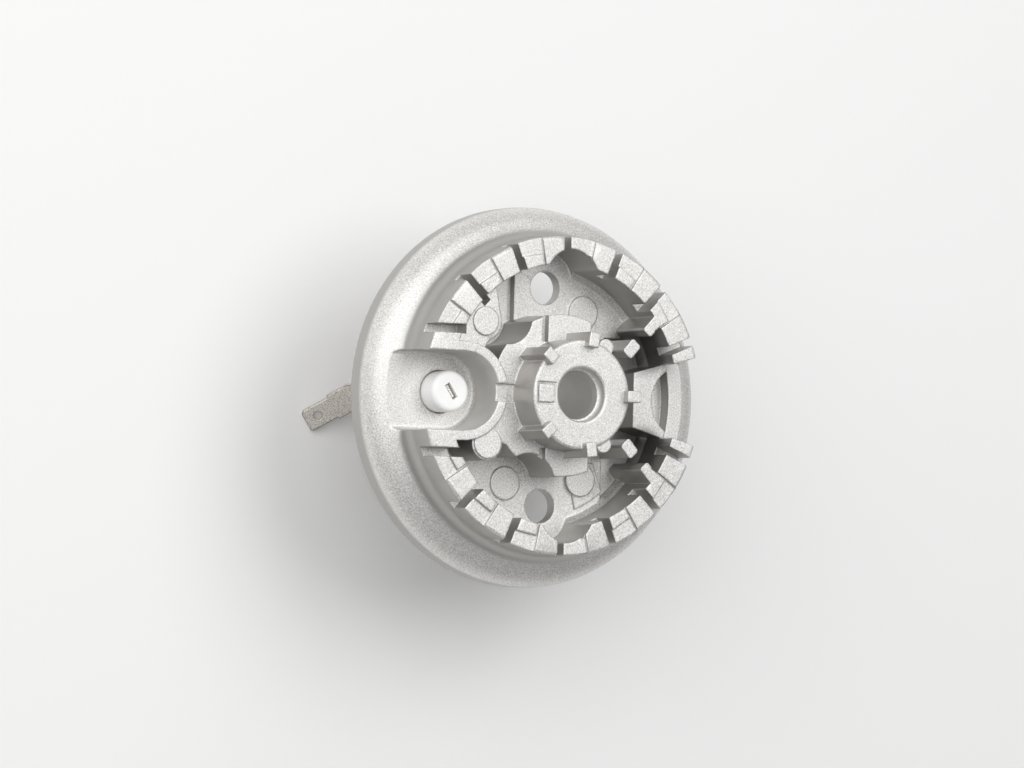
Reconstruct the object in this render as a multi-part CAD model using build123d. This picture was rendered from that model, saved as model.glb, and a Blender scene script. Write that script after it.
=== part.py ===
import os
from math import atan, cos, radians, sin, tan

from build123d import *

# Heights above the plane of the rim's lower edge
rim_band = 1.9
ceiling_height = 3.8
pocket_floor_height = 4.9
floor_height = 6.2
pad_height = 6.7
gap_sill_height = 8.6
ring_foot_height = 10.4
slot_floor_height = 11.3
block_height = 11.3
plateau_height = 14.6
ring_height = 15.5
hub_height = 21.0
fin_height = 22.6

# Dish and ring
rim_radius = 31.8
rim_inner_radius = 29.4
rim_lip_height = 1.0
dome_round = 5.2
ceiling_radius = 27.0
ring_radius = 26.4
ring_edge_chamfer = 0.4
foot_blend_steps = 5
well_radius = 21.8
well_foot_chamfer = 0.9
plate_left = -4.9
gap_pocket_x = 12.6
gap_pocket_y = 10.4

# Flame ports and the teeth between them
full_turn = 360
port_pitch = 22.5
port_count = round(full_turn / port_pitch)
port_width = 1.5
port_inner_radius = 20.6
side_port_x = -18.4
side_port_y = 10.1
tooth_step_radius = 23.7
tooth_step_drop = 0.5
tooth_groove_width = 0.3
tooth_groove_depth = 0.4
tooth_groove_inner_radius = 20.4
gap_half_angle = 16.3
gap_sill_inner_radius = 24.1

# Screw holes in the two wells
screw_hole_radius = 2.8
screw_reach = 18.2
screw_x = 1.0
screw_scallop_radius = 5.0
screw_scallop_reach = 19.3

# Hub, throat and the cap-locating fins
hub_top_radius = 9.0
hub_foot_radius = 9.5
hub_edge_chamfer = 0.25
throat_radius = 4.4
throat_depth = 1.9
throat_neck_radius = 4.0
throat_neck = 1.6
throat_flare = 1.4
tube_bore_radius = 5.4
tube_outer_radius = 7.6
tube_bottom = -14.0
throat_chamfer = 0.3
fin_angles = (0, 82, 138, 222, 278)
fin_inner_radius = 7.9
fin_outer_radius = 10.3
fin_width = 1.9
lobe_angle = 60
lobe_radius = 1.4
lobe_reach = 9.2
lobe_drop = 0.4
mark_x = -6.6
mark_length = 2.9
mark_width = 3.0
mark_groove = 0.35
mark_depth = 0.35

# Raised plateau round the hub and towards the electrode
tower_radius = 13.4
tower_right = 5.2
lobe_cut_x = -10.6
lobe_cut_y = 12.6
lobe_cut_radius = 4.6
plateau_groove_x = -3.5
plateau_groove_width = 1.1
plateau_groove_depth = 1.2

# Ejector-pin pads
pad_rise = 0.35
side_pad_x = -14.9
side_pad_y = 11.6
side_pad_radius = 2.35
side_pad_rim = 0.8
bridge_pad_x = -14.0
bridge_pad_y = -8.4
bridge_pad_radius = 2.5
bridge_pad_rim = 0.3
floor_pad_radius = 2.75
floor_pad_x = 8.3
floor_pad_y = 14.4
step_pad_y = -13.6
back_pad_x = -5.9
back_pad_y = -14.6
back_pad_moat = 4.9
step_pad_rise = 0.4
step_pad_inner_y = -10.7
step_pad_outer_radius = 20.0
step_pad_left = 5.6
step_pad_left_foot = 7.9
step_pad_right = 10.8
step_pad_right_foot = 14.4

# Posts, arms and the notched block on the side of the gap
post_x = 12.6
post_y = 8.3
post_length = 2.9
post_width = 2.1
post_turn = 48
post_round = 0.5
arm_tip_x = 15.4
arm_tip_y = 11.0
arm_turn = 47
arm_length = 6.0
arm_width = 1.9
block_left = 15.6
block_half_width = 4.6
block_tip_x = 21.6
block_tip_y = 6.3
block_end = 22.4
block_notch_x = 25.2
block_notch_radius = 6.0

# Electrode well
electrode_angle = 180
electrode_x = -18.9
well_wall = 1.6
electrode_well_radius = 6.5
spark_notch_length = 6.4
spark_notch_width = 2.9
spark_notch_depth = 1.2
electrode_well_fillet = 0.8

# Insulator, its collar and the boss and clip that hold it
stem_radius = 3.4
stem_clearance = 0.15
stem_top = 10.9
stem_bottom = -15.0
stem_edge_fillet = 0.8
collar_radius = 4.8
collar_thickness = 2.6
collar_clearance = 0.2
boss_wall = 1.6
boss_depth = 5.4
clip_thickness = 0.8
clip_leg_width = 2.0
clip_clearance = 0.1
clip_bridge = 1.5

# Electrode strip and its spade terminal
strip_thickness = 0.6
strip_width = 2.4
strip_clearance = 0.22
strip_top_sink = 0.5
shoulder_width = 4.6
blade_width = 3.9
blade_turn = 214.5
blade_slope = 28
blade_drop = 9.0
blade_length = 9.0
blade_narrow_length = 5.2
blade_bend_radius = 1.0
blade_corner = 0.6
blade_corner_turn = 45
blade_hole_radius = 0.7
blade_hole_inset = 2.3

# Reach of cutting tools past the surfaces that they open, and of added forms into what carries them
spill = 1.0
root_height = ceiling_height + spill


def column(outline, bottom, top):
    return extrude(Pos(0, 0, bottom) * outline, top - bottom)


def mirrored(shape):
    return shape + mirror(shape, Plane.XZ)


def radial_bar(angle, inner, outer, width):
    return Rot(0, 0, angle) * Pos((inner + outer) / 2, 0) * Rectangle(outer - inner, width)


def make_dish():
    # The dome's round and the hollow blend above it share a tangent, as both turn by the same angle
    rise = ring_foot_height - rim_band
    turn = 2 * atan((rim_radius - ring_radius) / rise)
    blend_round = rise / sin(turn) - dome_round
    rim_top = (rim_radius, rim_band)
    shoulder = (rim_radius - dome_round * (1 - cos(turn / 2)), rim_band + dome_round * sin(turn / 2))
    crown = (rim_radius - dome_round * (1 - cos(turn)), rim_band + dome_round * sin(turn))
    blend = []
    for step in range(1, foot_blend_steps + 1):
        left = turn * (1 - step / foot_blend_steps)
        reach = ring_radius + blend_round * (1 - cos(left))
        blend.append((reach, ring_foot_height - blend_round * sin(left)))
    lip = (rim_inner_radius, rim_lip_height)
    section = make_face(
        Polyline((0, ceiling_height), (ceiling_radius, ceiling_height), lip)
        + Polyline(lip, (rim_inner_radius, 0), (rim_radius, 0), rim_top)
        + ThreePointArc(rim_top, shoulder, crown)
        + Polyline(
            crown,
            *blend,
            (ring_radius, ring_height - ring_edge_chamfer),
            (ring_radius - ring_edge_chamfer, ring_height),
            (0, ring_height),
            (0, ceiling_height),
        )
    )
    return revolve(Plane.XZ * section, Axis.Z)


def electrode_wall_outline():
    outer = electrode_well_radius + well_wall
    reach = well_radius + spill + electrode_x
    arms = Pos(electrode_x - reach / 2, 0) * Rectangle(reach, 2 * outer)
    return Pos(electrode_x, 0) * Circle(outer) + arms


def uprights_outline():
    post = Pos(post_x, post_y) * Rot(0, 0, post_turn) * RectangleRounded(post_length, post_width, post_round)
    arm = Pos(arm_length / 2, 0) * RectangleRounded(arm_length, arm_width, post_round)
    arm = Pos(arm_tip_x, arm_tip_y) * Rot(0, 0, arm_turn) * arm
    return mirrored(post + arm)


def well_opening():
    outline = Circle(well_radius) - electrode_wall_outline() - uprights_outline()
    well = column(outline, floor_height - spill, ring_height + spill)
    foot = (well_radius - well_foot_chamfer, floor_height)
    reach = well_radius + spill
    slope_top = (reach, floor_height + well_foot_chamfer + spill)
    top = ring_height + 2 * spill
    section = make_face(
        Polyline((0, floor_height), foot, slope_top, (reach, top), (0, top), (0, floor_height))
    )
    return well & revolve(Plane.XZ * section, Axis.Z)


def floor_pockets():
    foot = Circle(well_radius - well_foot_chamfer)
    near_gap = Pos(gap_pocket_x + well_radius, gap_pocket_y - well_radius)
    near_gap *= Rectangle(2 * well_radius, 2 * well_radius)
    side = lobe_cut_y - lobe_cut_radius
    beside_plate = Pos((side_pad_x + plate_left) / 2, (side + well_radius) / 2)
    beside_plate *= Rectangle(plate_left - side_pad_x, well_radius - side)
    outline = foot & (near_gap + beside_plate)
    return column(outline - uprights_outline(), pocket_floor_height, floor_height + spill)


def make_plateau():
    tower = Circle(tower_radius)
    tower -= Pos(tower_right + tower_radius, 0) * Rectangle(2 * tower_radius, 2 * tower_radius)
    tower -= Pos(lobe_cut_x, lobe_cut_y) * Circle(lobe_cut_radius)
    tower -= Pos(back_pad_x, back_pad_y) * Circle(back_pad_moat)
    bridge_end = lobe_cut_x + lobe_cut_radius / 2
    bridge_side = lobe_cut_y - lobe_cut_radius
    bridge = make_face(
        Polyline(
            (electrode_x, electrode_well_radius),
            (electrode_x + electrode_well_radius, electrode_well_radius - well_wall),
            (lobe_cut_x, bridge_side),
            (bridge_end, bridge_side),
            (bridge_end, back_pad_y + back_pad_moat),
            (lobe_cut_x, bridge_pad_y),
            (electrode_x, bridge_pad_y + well_wall),
            close=True,
        )
    )
    boss = Pos(bridge_pad_x, bridge_pad_y) * Circle(bridge_pad_radius + bridge_pad_rim)
    return column(tower + bridge + boss, root_height, plateau_height)


def make_side_block():
    rim = side_pad_radius + side_pad_rim
    wall_middle = electrode_well_radius + well_wall / 2
    anchor = Rot(0, 0, electrode_angle - 2 * port_pitch) * Pos(well_radius + spill, 0)
    rear = Rot(0, 0, electrode_angle - port_pitch) * Pos(well_radius + spill, 0)
    round_end = Pos(side_pad_x, side_pad_y) * Circle(rim)
    web = make_face(
        Polyline(
            (rear.position.X, wall_middle),
            (side_pad_x, wall_middle),
            (side_pad_x + rim, side_pad_y),
            (anchor.position.X + rim, anchor.position.Y + well_wall),
            (anchor.position.X, anchor.position.Y),
            (rear.position.X, rear.position.Y),
            close=True,
        )
    )
    return column(round_end + web, root_height, plateau_height)


def spark_notch():
    wall_face = electrode_x + electrode_well_radius + well_wall
    notch = Pos(wall_face, 0) * Rectangle(spark_notch_length, spark_notch_width)
    return column(notch, ring_height - spark_notch_depth, ring_height + spill)


def electrode_opening():
    reach = rim_radius + electrode_x + spill
    outline = Pos(electrode_x, 0) * Circle(electrode_well_radius)
    outline += Pos(electrode_x - reach / 2, 0) * Rectangle(reach, 2 * electrode_well_radius)
    opening = column(outline, pad_height, ring_height + spill)
    foot = opening.edges().group_by(Axis.Z)[0].filter_by(GeomType.CIRCLE)
    return fillet(foot, electrode_well_fillet)


def make_hub():
    rise = hub_height - root_height
    hub = Pos(0, 0, root_height + rise / 2) * Cone(hub_foot_radius, hub_top_radius, rise)
    hub = chamfer(hub.edges().group_by(Axis.Z)[-1], hub_edge_chamfer)
    for angle in fin_angles:
        fin = radial_bar(angle, fin_inner_radius, fin_outer_radius, fin_width)
        hub += column(fin, root_height, fin_height)
    for side in (lobe_angle, -lobe_angle):
        lobe = Rot(0, 0, side) * Pos(lobe_reach, 0) * Circle(lobe_radius)
        hub += column(lobe, root_height, hub_height - lobe_drop)
    frame = Rectangle(mark_length + 2 * mark_groove, mark_width + 2 * mark_groove)
    frame -= Rectangle(mark_length, mark_width)
    return hub - column(Pos(mark_x, 0) * frame, hub_height - mark_depth, hub_height + spill)


def throat_opening():
    throat_foot = hub_height - throat_depth
    neck_foot = throat_foot - throat_neck
    section = make_face(
        Polyline(
            (0, tube_bottom - spill),
            (tube_bore_radius, tube_bottom - spill),
            (tube_bore_radius, neck_foot - throat_flare),
            (throat_neck_radius, neck_foot),
            (throat_neck_radius, throat_foot),
            (throat_radius, throat_foot),
            (throat_radius, hub_height - throat_chamfer),
            (throat_radius + throat_chamfer, hub_height),
            (throat_radius + throat_chamfer, hub_height + spill),
            (0, hub_height + spill),
            close=True,
        )
    )
    return revolve(Plane.XZ * section, Axis.Z)


def make_post_webs():
    web = radial_bar(post_turn - port_pitch / 2, hub_top_radius, post_x, post_width)
    return mirrored(column(web, root_height, block_height))


def make_block():
    outline = make_face(
        Polyline(
            (block_left, -block_half_width),
            (block_left, block_half_width),
            (block_tip_x, block_tip_y),
            (block_end, block_tip_y - well_wall),
            (block_end, well_wall - block_tip_y),
            (block_tip_x, -block_tip_y),
            close=True,
        )
    )
    outline -= Pos(block_notch_x, 0) * Circle(block_notch_radius)
    return column(outline, root_height, block_height)


def gap_opening():
    reach = rim_radius + spill
    side = reach * tan(radians(gap_half_angle))
    wedge = make_face(Polyline((0, 0), (reach, side), (reach, -side), close=True))
    sill = column(wedge - Circle(gap_sill_inner_radius), gap_sill_height, ring_height + spill)
    notch = wedge - Circle(well_radius - well_foot_chamfer)
    notch += Pos(block_notch_x, 0) * Circle(block_notch_radius)
    notch &= Circle(gap_sill_inner_radius)
    return sill + column(notch, floor_height, ring_height + spill)


def port_openings():
    bars = []
    for step in range(1, port_count):
        angle = step * port_pitch
        if abs(angle - electrode_angle) > port_pitch:
            bars.append(radial_bar(angle, port_inner_radius, ring_radius + spill, port_width))
    side_bar = Rectangle(ring_radius + side_port_x, port_width)
    side_bar = Pos((side_port_x - ring_radius) / 2, side_port_y) * side_bar
    bars += [side_bar, mirror(side_bar, Plane.XZ)]
    return [column(bar, slot_floor_height, ring_height + spill) for bar in bars]


def tooth_reliefs():
    reliefs = []
    half_tooth = radians(port_pitch / 2) * tooth_step_radius
    step = Pos((tooth_step_radius + ring_radius + spill) / 2, half_tooth / 2)
    for index in range(1, port_count // 2 - 1):
        angle = index * port_pitch + port_pitch / 2
        low = step * Rectangle(ring_radius + spill - tooth_step_radius, half_tooth)
        split = radial_bar(0, tooth_groove_inner_radius, ring_radius + spill, tooth_groove_width)
        cut = column(low, ring_height - tooth_step_drop, ring_height + spill)
        cut += column(split, ring_height - tooth_groove_depth, ring_height + spill)
        reliefs.append(mirrored(Rot(0, 0, angle) * cut))
    return reliefs


def well_openings():
    scallop = Pos(screw_x, screw_scallop_reach) * Circle(screw_scallop_radius)
    hole = Pos(screw_x, screw_reach) * Circle(screw_hole_radius)
    groove = Pos(plateau_groove_x, (hub_foot_radius + tower_radius) / 2)
    groove *= Rectangle(plateau_groove_width, tower_radius - hub_top_radius + spill)
    cuts = column(scallop - Circle(tower_radius + spill), floor_height, ring_height + spill)
    cuts += column(hole, 0, floor_height + spill)
    cuts += column(groove, plateau_height - plateau_groove_depth, plateau_height + spill)
    return mirrored(cuts)


def make_pads():
    step_pad = make_face(
        Polyline(
            (step_pad_left, step_pad_inner_y),
            (step_pad_left_foot, -step_pad_outer_radius),
            (step_pad_right_foot, -step_pad_outer_radius),
            (step_pad_right, step_pad_inner_y),
            close=True,
        )
    )
    step_pad &= Circle(step_pad_outer_radius)
    step_top = floor_height + step_pad_rise
    disc = Circle(floor_pad_radius)
    high_discs = Pos(side_pad_x, side_pad_y) * Circle(side_pad_radius)
    high_discs += Pos(bridge_pad_x, bridge_pad_y) * Circle(bridge_pad_radius)
    low_discs = Pos(back_pad_x, back_pad_y) * disc + Pos(floor_pad_x, floor_pad_y) * disc
    pads = column(high_discs, root_height, plateau_height + pad_rise)
    pads += column(low_discs, root_height, floor_height + pad_rise)
    pads += column(step_pad, root_height, step_top)
    pads += column(Pos(floor_pad_x, step_pad_y) * disc, root_height, step_top + pad_rise)
    return pads


def make_electrode_boss():
    bore = collar_radius + collar_clearance
    boss_outline = Pos(electrode_x, 0) * (Circle(bore + boss_wall) - Circle(bore))
    boss = column(boss_outline, ceiling_height - boss_depth, ceiling_height + spill)
    clip_bottom = ceiling_height - collar_thickness - clip_thickness
    leg = Pos(electrode_x, stem_radius + clip_leg_width / 2)
    leg *= Rectangle(2 * (bore + boss_wall + spill), clip_leg_width + 2 * clip_clearance)
    slots = column(leg, clip_bottom, clip_bottom + clip_thickness + clip_clearance)
    return boss - mirrored(slots)


def make_burner_base():
    base = make_dish() - well_opening() - floor_pockets()
    base += make_plateau()
    base += make_side_block()
    base += make_post_webs()
    base -= port_openings()
    base -= tooth_reliefs()
    base -= gap_opening()
    base -= electrode_opening()
    base -= spark_notch()
    base += make_hub()
    base += make_block()
    base -= well_openings()
    base += make_pads()
    base += column(Circle(tube_outer_radius), tube_bottom, ceiling_height + spill)
    base += make_electrode_boss()
    base -= throat_opening()
    stem_hole = Pos(electrode_x, 0) * Circle(stem_radius + stem_clearance)
    return base - column(stem_hole, ceiling_height - spill, pad_height + spill)


def make_insulator():
    stem = column(Circle(stem_radius), stem_bottom, stem_top)
    stem = fillet(stem.edges().group_by(Axis.Z)[-1], stem_edge_fillet)
    stem += column(Circle(collar_radius), ceiling_height - collar_thickness, ceiling_height)
    channel = Rectangle(strip_thickness + 2 * strip_clearance, strip_width + 2 * strip_clearance)
    stem -= column(Rot(0, 0, blade_turn) * channel, stem_bottom - spill, stem_top + spill)
    return Pos(electrode_x, 0, 0) * stem


def make_strip():
    tip_top = stem_top - strip_top_sink
    bend = stem_bottom - blade_drop
    run = blade_length * cos(radians(blade_slope))
    fall = blade_length * sin(radians(blade_slope))
    core = column(Rectangle(strip_thickness, strip_width), stem_bottom, tip_top)
    path = FilletPolyline((0, 0, stem_bottom), (0, 0, bend), (run, 0, bend - fall), radius=blade_bend_radius)
    start = Plane((0, 0, stem_bottom), x_dir=(1, 0, 0), z_dir=(0, 0, -1))
    blade = sweep(start * Rectangle(strip_thickness, shoulder_width), path)
    tip = Pos(run, 0, bend - fall) * Rot(0, blade_slope, 0)
    trim = (shoulder_width - blade_width) / 2
    side = Pos(-blade_narrow_length / 2, (blade_width + trim) / 2, 0)
    side *= Box(blade_narrow_length, trim, 2 * spill)
    corner = Pos(0, blade_width / 2, 0) * Rot(0, 0, blade_corner_turn)
    corner *= Box(blade_corner, 2 * blade_corner, 2 * spill)
    blade -= tip * mirrored(side + corner)
    blade -= tip * Pos(-blade_hole_inset, 0, 0) * Cylinder(blade_hole_radius, 2 * spill)
    return Pos(electrode_x, 0, 0) * Rot(0, 0, blade_turn) * (core + blade)


def make_clip():
    bore = collar_radius + collar_clearance
    outer = stem_radius + clip_leg_width
    clip_bottom = ceiling_height - collar_thickness - clip_thickness
    front = electrode_x - bore - boss_wall - clip_bridge
    back = electrode_x + bore
    plate = Pos((front + back) / 2, 0) * Rectangle(back - front, 2 * outer)
    slot_front = front + clip_bridge
    slot = Rectangle(back - slot_front, 2 * (stem_radius + clip_clearance))
    slot = Pos((slot_front + back) / 2, 0) * slot
    return column(plate - slot, clip_bottom, clip_bottom + clip_thickness)


os.makedirs("parts", exist_ok=True)
export_step(make_burner_base(), "parts/burner_base.step")
export_step(make_insulator(), "parts/electrode_insulator.step")
export_step(make_strip(), "parts/electrode_strip.step")
export_step(make_clip(), "parts/retaining_clip.step")
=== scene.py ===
import math

import bmesh
import bpy
import numpy as np
from mathutils import Matrix, Vector
from mathutils.bvhtree import BVHTree


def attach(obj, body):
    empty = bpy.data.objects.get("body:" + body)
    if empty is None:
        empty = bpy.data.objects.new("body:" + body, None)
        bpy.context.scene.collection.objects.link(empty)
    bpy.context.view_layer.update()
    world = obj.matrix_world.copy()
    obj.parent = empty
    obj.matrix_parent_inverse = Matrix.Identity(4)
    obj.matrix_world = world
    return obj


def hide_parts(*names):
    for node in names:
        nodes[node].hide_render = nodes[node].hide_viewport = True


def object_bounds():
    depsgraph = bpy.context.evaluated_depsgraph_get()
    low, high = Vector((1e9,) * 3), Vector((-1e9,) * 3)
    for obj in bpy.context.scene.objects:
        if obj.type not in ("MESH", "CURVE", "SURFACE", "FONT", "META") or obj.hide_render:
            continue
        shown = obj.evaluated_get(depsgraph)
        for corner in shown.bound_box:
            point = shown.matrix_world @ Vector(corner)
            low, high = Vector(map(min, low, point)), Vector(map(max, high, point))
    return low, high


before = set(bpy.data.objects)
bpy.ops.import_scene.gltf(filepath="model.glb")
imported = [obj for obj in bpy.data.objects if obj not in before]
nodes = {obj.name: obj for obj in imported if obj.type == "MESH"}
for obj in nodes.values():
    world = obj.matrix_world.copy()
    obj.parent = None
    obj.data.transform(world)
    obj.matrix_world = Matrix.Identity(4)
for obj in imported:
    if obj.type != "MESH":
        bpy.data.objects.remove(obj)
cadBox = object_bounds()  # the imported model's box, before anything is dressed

mm = 0.001
print("frame loaded:", ", ".join(sorted(nodes)))


# small helpers for node trees

def startMaterial(name):
    material = bpy.data.materials.new(name)
    material.use_nodes = True
    tree = material.node_tree
    tree.nodes.clear()
    surface = tree.nodes.new("ShaderNodeOutputMaterial")
    shader = tree.nodes.new("ShaderNodeBsdfPrincipled")
    tree.links.new(shader.outputs["BSDF"], surface.inputs["Surface"])
    return material, tree, shader


def put(tree, kind, values=None, **settings):
    made = tree.nodes.new(kind)
    for key, value in settings.items():
        setattr(made, key, value)
    for key, value in (values or {}).items():
        made.inputs[key].default_value = value
    return made


def feed(tree, sockets, values):
    # a plain value is set on its socket, and another node's output is linked to it
    for socket, value in zip(sockets, values):
        if isinstance(value, (int, float, tuple)):
            socket.default_value = value
        else:
            tree.links.new(value, socket)


def noiseField(tree, place, scale, detail, rough):
    values = {"Scale": scale, "Detail": detail, "Roughness": rough}
    field = put(tree, "ShaderNodeTexNoise", values)
    tree.links.new(place, field.inputs["Vector"])
    return field.outputs["Fac"]


def cellField(tree, place, scale):
    field = put(tree, "ShaderNodeTexVoronoi", {"Scale": scale, "Randomness": 1.0})
    tree.links.new(place, field.inputs["Vector"])
    return field.outputs["Distance"]


def remap(tree, value, span, newLow, newHigh):
    values = {"From Min": span[0], "From Max": span[1], "To Min": newLow, "To Max": newHigh}
    ramp = put(tree, "ShaderNodeMapRange", values, interpolation_type="SMOOTHSTEP")
    tree.links.new(value, ramp.inputs["Value"])
    return ramp.outputs["Result"]


def combine(tree, first, second, how):
    sums = put(tree, "ShaderNodeMath", operation=how)
    feed(tree, sums.inputs, (first, second))
    return sums.outputs["Value"]


def times(tree, first, *others):
    for other in others:
        first = combine(tree, first, other, "MULTIPLY")
    return first


def vectorStep(tree, how, *values):
    step = put(tree, "ShaderNodeVectorMath", operation=how)
    feed(tree, step.inputs, values)
    return step.outputs["Value" if how in ("LENGTH", "DOT_PRODUCT") else "Vector"]


def splitAxes(tree, vector):
    axes = put(tree, "ShaderNodeSeparateXYZ")
    tree.links.new(vector, axes.inputs["Vector"])
    return axes.outputs


def blendColour(tree, share, first, second):
    mixer = put(tree, "ShaderNodeMix", data_type="RGBA")
    feed(tree, [s for s in mixer.inputs if s.enabled], (share, first, second))
    return [s for s in mixer.outputs if s.enabled][0]


def addRelief(tree, shader, height, strength, depth, under=None):
    relief = put(tree, "ShaderNodeBump", {"Strength": strength, "Distance": depth})
    tree.links.new(height, relief.inputs["Height"])
    if under is not None:
        tree.links.new(under, relief.inputs["Normal"])
    tree.links.new(relief.outputs["Normal"], shader.inputs["Normal"])


# softened copies of the solids: crisp edges get a small round, as a casting or a ceramic has

softEdges = {
    "burner_base": dict(name="castBase", slot="cast_aluminium",
                        width=0.16 * mm, steps=3, crease=38, left=46),
    "electrode_insulator": dict(name="insulator", slot="white_ceramic",
                                width=0.16 * mm, steps=3, crease=38, left=46),
    "electrode_strip": dict(name="strip", slot="plated_strip",
                            width=0.0, steps=0, crease=38, left=38),
    "retaining_clip": dict(name="clip", slot="spring_steel",
                           width=0.0, steps=0, crease=38, left=38),
}
mergeRule = dict(near=0.001 * mm, flat=0.5)
foldTest = dict(tries=6, reach=0.30 * mm, facing=0.15, speck=1e-12, block=200)
chainRule = dict(bend=35, lost=0.25)


def cosine(angle):
    return math.cos(math.radians(angle))


def readArray(items, name, kind, width):
    values = np.zeros(len(items) * width, kind)
    items.foreach_get(name, values)
    return values.reshape(-1, width) if width > 1 else values


def foldedPoints(piece, bare):
    # corners of the rounded mesh's triangles that face away from the bare surface beside them
    shown = piece.evaluated_get(bpy.context.evaluated_depsgraph_get())
    mesh = shown.to_mesh()
    mesh.calc_loop_triangles()
    triangles = readArray(mesh.loop_triangles, "vertices", np.int32, 3)
    corners = readArray(mesh.vertices, "co", np.float32, 3)[triangles]
    shown.to_mesh_clear()
    across = np.cross(corners[:, 1] - corners[:, 0], corners[:, 2] - corners[:, 0])
    areas = np.linalg.norm(across, axis=1) / 2
    solid = areas > foldTest["speck"]
    corners, facing = corners[solid], across[solid] / (2 * areas[solid, None])
    beside = np.array([bare.find_nearest(Vector(middle))[1] for middle in corners.mean(axis=1)])
    folded = np.einsum("ij,ij->i", facing, beside) < foldTest["facing"]
    return corners[folded].reshape(-1, 3)


def wholeChains(corners, ends, crisp, weights):
    # crisp edges that run on into one another form a chain
    # a chain that lost too much of its round loses it all
    rank = np.flatnonzero(crisp)
    along = corners[ends[rank, 1]] - corners[ends[rank, 0]]
    lengths = np.linalg.norm(along, axis=1)
    along = along / lengths[:, None]
    points = ends[rank].ravel()
    order = np.argsort(points, kind="stable")
    starts = np.flatnonzero(np.r_[True, np.diff(points[order]) != 0])
    sizes = np.diff(np.r_[starts, len(order)])
    first = order[starts[sizes == 2]] // 2
    second = order[starts[sizes == 2] + 1] // 2
    turns = np.abs(np.einsum("ij,ij->i", along[first], along[second]))
    straight = turns > cosine(chainRule["bend"])
    first, second = first[straight], second[straight]
    chain = np.arange(len(rank))
    while True:
        lowest = np.minimum(chain[first], chain[second])
        if (lowest == chain[first]).all() and (lowest == chain[second]).all():
            break
        np.minimum.at(chain, first, lowest)
        np.minimum.at(chain, second, lowest)
    whole = np.bincount(chain, lengths, len(rank))
    lost = np.bincount(chain, lengths * (weights[rank] == 0), len(rank))
    weights[rank[lost[chain] > chainRule["lost"] * whole[chain]]] = 0.0


def roundOff(piece, edges, bare, corners, ends, crisp, weights):
    # where a round has no room and folds over, the edges there stay as they are
    mesh = piece.data
    mesh.attributes.new("bevel_weight_edge", "FLOAT", "EDGE").data.foreach_set("value", weights)
    rounds = piece.modifiers.new("rounds", "BEVEL")
    rounds.limit_method = "WEIGHT"
    rounds.width = edges["width"]
    rounds.segments = edges["steps"]
    rounds.use_clamp_overlap = False
    rounds.face_strength_mode = "FSTR_ALL"  # the rounds count least when the normals are weighed
    for attempt in range(foldTest["tries"]):
        folded = foldedPoints(piece, bare)
        print(edges["name"], "folded corners:", len(folded))
        if len(folded) == 0:
            break
        nearest = np.full(len(corners), 1.0)
        for block in np.array_split(folded, len(folded) // foldTest["block"] + 1):
            gaps = np.linalg.norm(corners[:, None] - block[None], axis=2)
            nearest = np.minimum(nearest, gaps.min(axis=1))
        weights[(nearest[ends] < foldTest["reach"]).any(axis=1)] = 0.0
        wholeChains(corners, ends, crisp, weights)
        mesh.attributes["bevel_weight_edge"].data.foreach_set("value", weights)
        mesh.update()
    shown = piece.evaluated_get(bpy.context.evaluated_depsgraph_get())
    piece.data = bpy.data.meshes.new_from_object(shown)
    piece.modifiers.clear()


def crispEdges(mesh, crease):
    # an edge is crisp where its two faces turn by more than the crease angle
    normals = readArray(mesh.polygons, "normal", np.float32, 3)
    loopTotals = readArray(mesh.polygons, "loop_total", np.int32, 1)
    owners = np.repeat(np.arange(len(normals)), loopTotals)
    sides = readArray(mesh.loops, "edge_index", np.int32, 1)
    counts = np.bincount(sides, minlength=len(mesh.edges))
    order = np.argsort(sides, kind="stable")
    starts = np.cumsum(counts) - counts
    crisp = counts != 2
    paired = np.flatnonzero(counts == 2)
    first, second = owners[order[starts[paired]]], owners[order[starts[paired] + 1]]
    crisp[paired] = np.einsum("ij,ij->i", normals[first], normals[second]) < cosine(crease)
    return crisp


def softCopy(node, edges):
    mesh = nodes[node].data.copy()
    mesh.name = edges["name"]
    work = bmesh.new()
    work.from_mesh(mesh)
    bmesh.ops.remove_doubles(work, verts=work.verts, dist=mergeRule["near"])
    bare = BVHTree.FromBMesh(work)
    flat = math.radians(mergeRule["flat"])
    bmesh.ops.dissolve_limit(work, angle_limit=flat, verts=work.verts, edges=work.edges)
    bmesh.ops.triangulate(work, faces=work.faces, quad_method="BEAUTY", ngon_method="BEAUTY")
    work.to_mesh(mesh)
    work.free()
    corners = readArray(mesh.vertices, "co", np.float32, 3)
    ends = readArray(mesh.edges, "vertices", np.int32, 2)
    crisp = crispEdges(mesh, edges["crease"])
    weights = crisp.astype(np.float32) * (edges["steps"] > 0)
    mesh.shade_smooth()
    piece = bpy.data.objects.new(edges["name"], mesh)
    bpy.context.scene.collection.objects.link(piece)
    if edges["steps"] > 0:
        roundOff(piece, edges, bare, corners, ends, crisp, weights)
    mesh = piece.data
    sharp = mesh.attributes.new("sharp_edge", "BOOLEAN", "EDGE")
    sharp.data.foreach_set("value", crispEdges(mesh, edges["left"]))
    flats = piece.modifiers.new("flats", "WEIGHTED_NORMAL")
    flats.mode = "FACE_AREA"
    flats.keep_sharp = True
    flats.use_face_influence = edges["steps"] > 0
    print(edges["name"], "rounded", int(weights.sum()), "of", int(crisp.sum()), "crisp edges")
    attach(piece, "root")
    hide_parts(node)
    return piece


pieces = {node: softCopy(node, edges) for node, edges in softEdges.items()}
print("softened:", ", ".join(piece.name for piece in pieces.values()))


# cast aluminium: pale grainy tops; smoother drawn walls whose darker colour is partly painted
# shade; painted light inside the throat bore and the electrode well; painted shade in the corners
# beside the block

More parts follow.
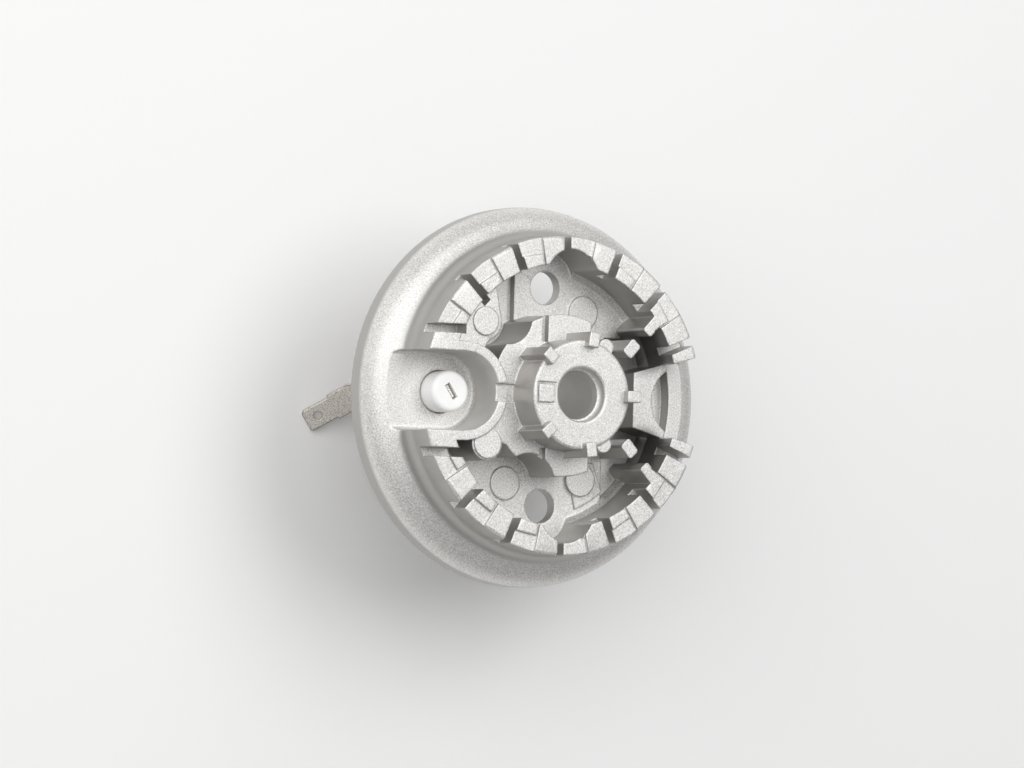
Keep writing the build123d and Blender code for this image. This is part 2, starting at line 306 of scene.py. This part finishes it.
castFinish = dict(
    # the darker colour of the walls is partly painted shade, the pale bore colour is painted
    # light, and the near-black corner colour is painted shade
    top=(0.83, 0.82, 0.80, 1), wall=(0.45, 0.437, 0.42, 1), bore=(0.95, 0.94, 0.92, 1),
    pit=(0.56, 0.55, 0.53, 1), spark=(0.99, 0.985, 0.97, 1), cornerShadeColour=(0.16, 0.155, 0.15, 1),
    metal=0.78, topRough=0.52, wallRough=0.36, roughSpread=(-0.06, 0.08),
    grainScale=4300.0, pitScale=3300.0, cloudScale=90.0, cloudShare=0.18, middle=(0.3, 0.7),
    darkGrain=(0.50, 0.36), darkShare=0.8, brightGrain=(0.52, 0.66), brightShare=0.85,
    grainHeight=0.6, pitHeight=0.5, wallHeight=0.15, grainDepth=0.05 * mm, grainStrength=0.9,
    edgeRound=0.36 * mm, edgeSamples=8,
    topTurn=(0.10, 0.32),  # how far a normal points up where walls become tops
    footStart=(26.2 * mm, 26.5 * mm), footEnd=(26.9 * mm, 28.4 * mm),  # smooth band at the ring's foot: no grain, and the darker colour of the walls as painted shade
    footSide=(6.3 * mm, 6.6 * mm),  # it stops at the electrode well and the gap
    boreEdge=(5.6 * mm, 6.2 * mm),
    stemSpot=(-18.9 * mm, 0.0, 0.0), stemEdge=(6.7 * mm, 7.1 * mm), stemShare=0.5,
    # where the painted shade in the corners beside the block sits
    cornerShadeSpot=(17.6 * mm, 8.6 * mm, 0.0), cornerShadeEdge=(2.6 * mm, 5.4 * mm), cornerShadeShare=0.85,
    cornerShadeSide=(0.0, 4.0 * mm), cornerShadeTop=(11.0 * mm, 14.0 * mm), cornerShadeFoot=(4.2 * mm, 4.6 * mm),
)
unit = (0.0, 1.0)  # the span of a share


def castMasks(tree, where, normal, finish):
    # shares from 0 to 1: blasted tops, walls with painted light in the bore and the electrode
    # well, and corners with painted shade
    spots = splitAxes(tree, where)
    flat = vectorStep(tree, "MULTIPLY", where, (1.0, 1.0, 0.0))
    reach = vectorStep(tree, "LENGTH", flat)
    upward = remap(tree, splitAxes(tree, normal)["Z"], finish["topTurn"], 0.0, 1.0)
    beside = remap(tree, combine(tree, spots["Y"], 0.0, "ABSOLUTE"), finish["footSide"], 0.0, 1.0)
    # the ring's foot and the walls take the darker colour, partly painted shade; the tops keep
    # the pale colour and the grain
    ringFoot = times(tree, remap(tree, reach, finish["footStart"], 0.0, 1.0),
                     remap(tree, reach, finish["footEnd"], 1.0, 0.0), beside)
    blastedLitTops = times(tree, upward, remap(tree, ringFoot, unit, 1.0, 0.0))
    fromStem = vectorStep(tree, "LENGTH", vectorStep(tree, "SUBTRACT", flat, finish["stemSpot"]))
    # painted light: walls in the throat bore and round the electrode's stem take a pale colour
    paintedWellLight = combine(tree, remap(tree, reach, finish["boreEdge"], 1.0, 0.0),
                        remap(tree, fromStem, finish["stemEdge"], finish["stemShare"], 0.0),
                        "MAXIMUM")
    bothSides = vectorStep(tree, "ABSOLUTE", flat)  # the same corner on both sides of the block
    corner = vectorStep(tree, "SUBTRACT", bothSides, finish["cornerShadeSpot"])
    fromCorner = vectorStep(tree, "LENGTH", corner)
    # painted shade: a darker colour in the corners beside the block, between two heights
    paintedCornerShade = times(tree, remap(tree, fromCorner, finish["cornerShadeEdge"], finish["cornerShadeShare"], 0.0),
                  remap(tree, spots["X"], finish["cornerShadeSide"], 0.0, 1.0),
                  remap(tree, spots["Z"], finish["cornerShadeTop"], 1.0, 0.0),
                  remap(tree, spots["Z"], finish["cornerShadeFoot"], 0.0, 1.0))
    return blastedLitTops, paintedWellLight, paintedCornerShade


def makeCastFinish(finish):
    material, tree, shader = startMaterial("castAluminium")
    place = put(tree, "ShaderNodeTexCoord")
    where = place.outputs["Object"]
    blastedLitTops, paintedWellLight, paintedCornerShade = castMasks(tree, where, place.outputs["Normal"], finish)
    grain = noiseField(tree, where, finish["grainScale"], 2.0, 0.6)
    pits = cellField(tree, where, finish["pitScale"])
    cloud = noiseField(tree, where, finish["cloudScale"], 3.0, 0.5)
    # walls: a darker colour that is partly painted shade, made pale as painted light in the bore
    # and the electrode well
    drawnWallsShadeAndLight = blendColour(tree, paintedWellLight, finish["wall"], finish["bore"])
    base = blendColour(tree, blastedLitTops, drawnWallsShadeAndLight, finish["top"])
    clouded = remap(tree, cloud, finish["middle"], 0.0, finish["cloudShare"])
    dull = blendColour(tree, clouded, base, finish["wall"])
    dark = times(tree, remap(tree, grain, finish["darkGrain"], 0.0, finish["darkShare"]), blastedLitTops)
    pitted = blendColour(tree, dark, dull, finish["pit"])
    bright = remap(tree, grain, finish["brightGrain"], 0.0, finish["brightShare"])
    grainy = blendColour(tree, times(tree, bright, blastedLitTops), pitted, finish["spark"])
    # painted shade in the corners beside the block
    colour = blendColour(tree, paintedCornerShade, grainy, finish["cornerShadeColour"])
    tree.links.new(colour, shader.inputs["Base Color"])
    rough = combine(tree, remap(tree, blastedLitTops, unit, finish["wallRough"], finish["topRough"]),
                    remap(tree, grain, finish["middle"], *finish["roughSpread"]), "ADD")
    tree.links.new(rough, shader.inputs["Roughness"])
    shader.inputs["Metallic"].default_value = finish["metal"]
    height = combine(tree, times(tree, grain, finish["grainHeight"]),
                     times(tree, pits, finish["pitHeight"]), "ADD")
    height = times(tree, height, remap(tree, blastedLitTops, unit, finish["wallHeight"], 1.0))
    rounded = put(tree, "ShaderNodeBevel", {"Radius": finish["edgeRound"]},
                  samples=finish["edgeSamples"])
    addRelief(tree, shader, height, finish["grainStrength"], finish["grainDepth"],
              rounded.outputs["Normal"])
    return material


# white ceramic of the electrode's insulator

ceramicFinish = dict(
    body=(0.97, 0.97, 0.965, 1), stain=(0.92, 0.91, 0.89, 1),
    stainScale=260.0, stainSpan=(0.45, 0.8), stainShare=0.35,
    fineScale=2600.0, fineSpan=(0.3, 0.7), rough=(0.27, 0.40),
    reliefStrength=0.25, reliefDepth=0.01 * mm,
)


def makeCeramicFinish(finish):
    material, tree, shader = startMaterial("whiteCeramic")
    where = put(tree, "ShaderNodeTexCoord").outputs["Object"]
    cloud = noiseField(tree, where, finish["stainScale"], 4.0, 0.6)
    stained = remap(tree, cloud, finish["stainSpan"], 0.0, finish["stainShare"])
    colour = blendColour(tree, stained, finish["body"], finish["stain"])
    tree.links.new(colour, shader.inputs["Base Color"])
    fine = noiseField(tree, where, finish["fineScale"], 2.0, 0.5)
    rough = remap(tree, fine, finish["fineSpan"], *finish["rough"])
    tree.links.new(rough, shader.inputs["Roughness"])
    addRelief(tree, shader, fine, finish["reliefStrength"], finish["reliefDepth"])
    return material


# plated strip and spring clip: rolled metal with fine specks, drawn lines, and a colour darkened
# near every edge

rolledLook = dict(
    speckScale=5200.0, speckSpan=(0.40, 0.64), speckShare=0.75,
    lineScale=(9000.0, 700.0, 700.0), lineStrength=0.3, lineDepth=0.008 * mm,
    edgeRound=0.40 * mm, edgeSamples=8, rimTurn=(0.84, 0.99), rimShare=0.9,
    roughSpan=(0.35, 0.7), roughSpread=0.12,
)
stripFinish = dict(name="platedStrip", clean=(0.97, 0.93, 0.86, 1), dull=(0.38, 0.355, 0.31, 1),
                   rim=(0.20, 0.185, 0.165, 1), rough=0.40, metal=0.75)
clipFinish = dict(name="springSteel", clean=(0.60, 0.60, 0.61, 1), dull=(0.40, 0.40, 0.41, 1),
                  rim=(0.25, 0.25, 0.255, 1), rough=0.38, metal=0.9)


def makeRolledFinish(finish, look):
    material, tree, shader = startMaterial(finish["name"])
    where = put(tree, "ShaderNodeTexCoord").outputs["Object"]
    speck = noiseField(tree, where, look["speckScale"], 2.0, 0.6)
    stretch = put(tree, "ShaderNodeMapping", {"Scale": look["lineScale"]})
    tree.links.new(where, stretch.inputs["Vector"])
    lines = noiseField(tree, stretch.outputs["Vector"], 1.0, 2.0, 0.6)
    specked = remap(tree, speck, look["speckSpan"], 0.0, look["speckShare"])
    rolled = blendColour(tree, specked, finish["clean"], finish["dull"])
    rounded = put(tree, "ShaderNodeBevel", {"Radius": look["edgeRound"]},
                  samples=look["edgeSamples"]).outputs["Normal"]
    facing = put(tree, "ShaderNodeNewGeometry").outputs["True Normal"]
    turned = vectorStep(tree, "DOT_PRODUCT", rounded, facing)
    rim = remap(tree, turned, look["rimTurn"], look["rimShare"], 0.0)  # darker near every edge
    tree.links.new(blendColour(tree, rim, rolled, finish["rim"]), shader.inputs["Base Color"])
    shader.inputs["Metallic"].default_value = finish["metal"]
    rough = remap(tree, speck, look["roughSpan"], finish["rough"],
                  finish["rough"] + look["roughSpread"])
    tree.links.new(rough, shader.inputs["Roughness"])
    addRelief(tree, shader, lines, look["lineStrength"], look["lineDepth"], rounded)
    return material


finishes = {
    "burner_base": makeCastFinish(castFinish),
    "electrode_insulator": makeCeramicFinish(ceramicFinish),
    "electrode_strip": makeRolledFinish(stripFinish, rolledLook),
    "retaining_clip": makeRolledFinish(clipFinish, rolledLook),
}
for node, material in finishes.items():
    for mesh in (pieces[node].data, nodes[node].data):
        mesh.materials.clear()
        mesh.materials.append(material)
print("finishes on:", ", ".join(finishes))


# pale floor just under the terminal's lowest point

floorLook = dict(size=1.6, colour=(0.95, 0.95, 0.945, 1), drop=0.05 * mm,
                 rough=0.9, gloss=0.1)  # matt, so no glare at low angles


def layFloor(look):
    # a flat square: four corners at half the size, all at one height
    height = cadBox[0][2] - look["drop"]
    corners = np.array([(-1, -1), (1, -1), (1, 1), (-1, 1)]) * look["size"] / 2
    points = np.column_stack([corners, np.full(len(corners), height)])
    mesh = bpy.data.meshes.new("floor")
    mesh.from_pydata(points.tolist(), [], [(0, 1, 2, 3)])
    floor = bpy.data.objects.new("floor", mesh)
    bpy.context.scene.collection.objects.link(floor)
    material, tree, shader = startMaterial("paleFloor")
    shader.inputs["Base Color"].default_value = look["colour"]
    shader.inputs["Roughness"].default_value = look["rough"]
    shader.inputs["Specular IOR Level"].default_value = look["gloss"]
    mesh.materials.append(material)


layFloor(floorLook)
print("floor laid")


# camera at the photograph's angle

viewFit = dict(tilt=29.53, lean=2.99, spin=-2.14, offset=(1.15, -2.29), distance=838.1,
               focalPixels=5000.0, frameWidth=1024, sensorWidth=36.0, nearest=0.01)


def placeCamera(fit):
    lean, tilt, spin = (math.radians(fit[key]) for key in ("lean", "tilt", "spin"))
    turn = (Matrix.Rotation(lean, 3, "Z") @ Matrix.Rotation(tilt, 3, "Y")
            @ Matrix.Rotation(spin - lean, 3, "Z")).transposed()
    data = bpy.data.cameras.new("camera")
    data.sensor_fit = "HORIZONTAL"
    data.sensor_width = fit["sensorWidth"]
    data.lens = fit["sensorWidth"] * fit["focalPixels"] / fit["frameWidth"]
    data.clip_start = fit["nearest"]
    camera = bpy.data.objects.new("camera", data)
    spot = turn @ Vector((-fit["offset"][0], -fit["offset"][1], fit["distance"])) * mm
    camera.matrix_world = Matrix.Translation(spot) @ turn.to_4x4()
    bpy.context.scene.collection.objects.link(camera)
    bpy.context.scene.camera = camera


# soft light: even room light and three broad lamps, the strongest from the electrode's side

roomLight = dict(colour=(1, 1, 1, 1), strength=0.28)
lamps = [
    dict(name="keyLamp", toward=(-0.68, 0.28, 0.68), distance=0.9, size=1.0, watts=4.7),
    dict(name="topLamp", toward=(0.22, 0.28, 0.935), distance=0.8, size=0.60, watts=2.25),
    dict(name="backLamp", toward=(0.10, 0.70, 0.70), distance=0.9, size=0.70, watts=1.2),
]


def lightRoom(look):
    world = bpy.data.worlds.new("room")
    world.use_nodes = True
    backdrop = world.node_tree.nodes["Background"]
    backdrop.inputs["Color"].default_value = look["colour"]
    backdrop.inputs["Strength"].default_value = look["strength"]
    bpy.context.scene.world = world


def placeLamp(look):
    data = bpy.data.lights.new(look["name"], "AREA")
    data.shape = "DISK"
    data.size = look["size"]
    data.energy = look["watts"]
    lamp = bpy.data.objects.new(look["name"], data)
    toward = Vector(look["toward"]).normalized()
    facing = toward.to_track_quat("Z", "Y").to_matrix().to_4x4()  # a lamp shines down its own -Z
    lamp.matrix_world = Matrix.Translation(toward * look["distance"]) @ facing
    bpy.context.scene.collection.objects.link(lamp)


placeCamera(viewFit)
lightRoom(roomLight)
for look in lamps:
    placeLamp(look)
bpy.context.scene.view_settings.view_transform = "Standard"
print("camera and light placed")
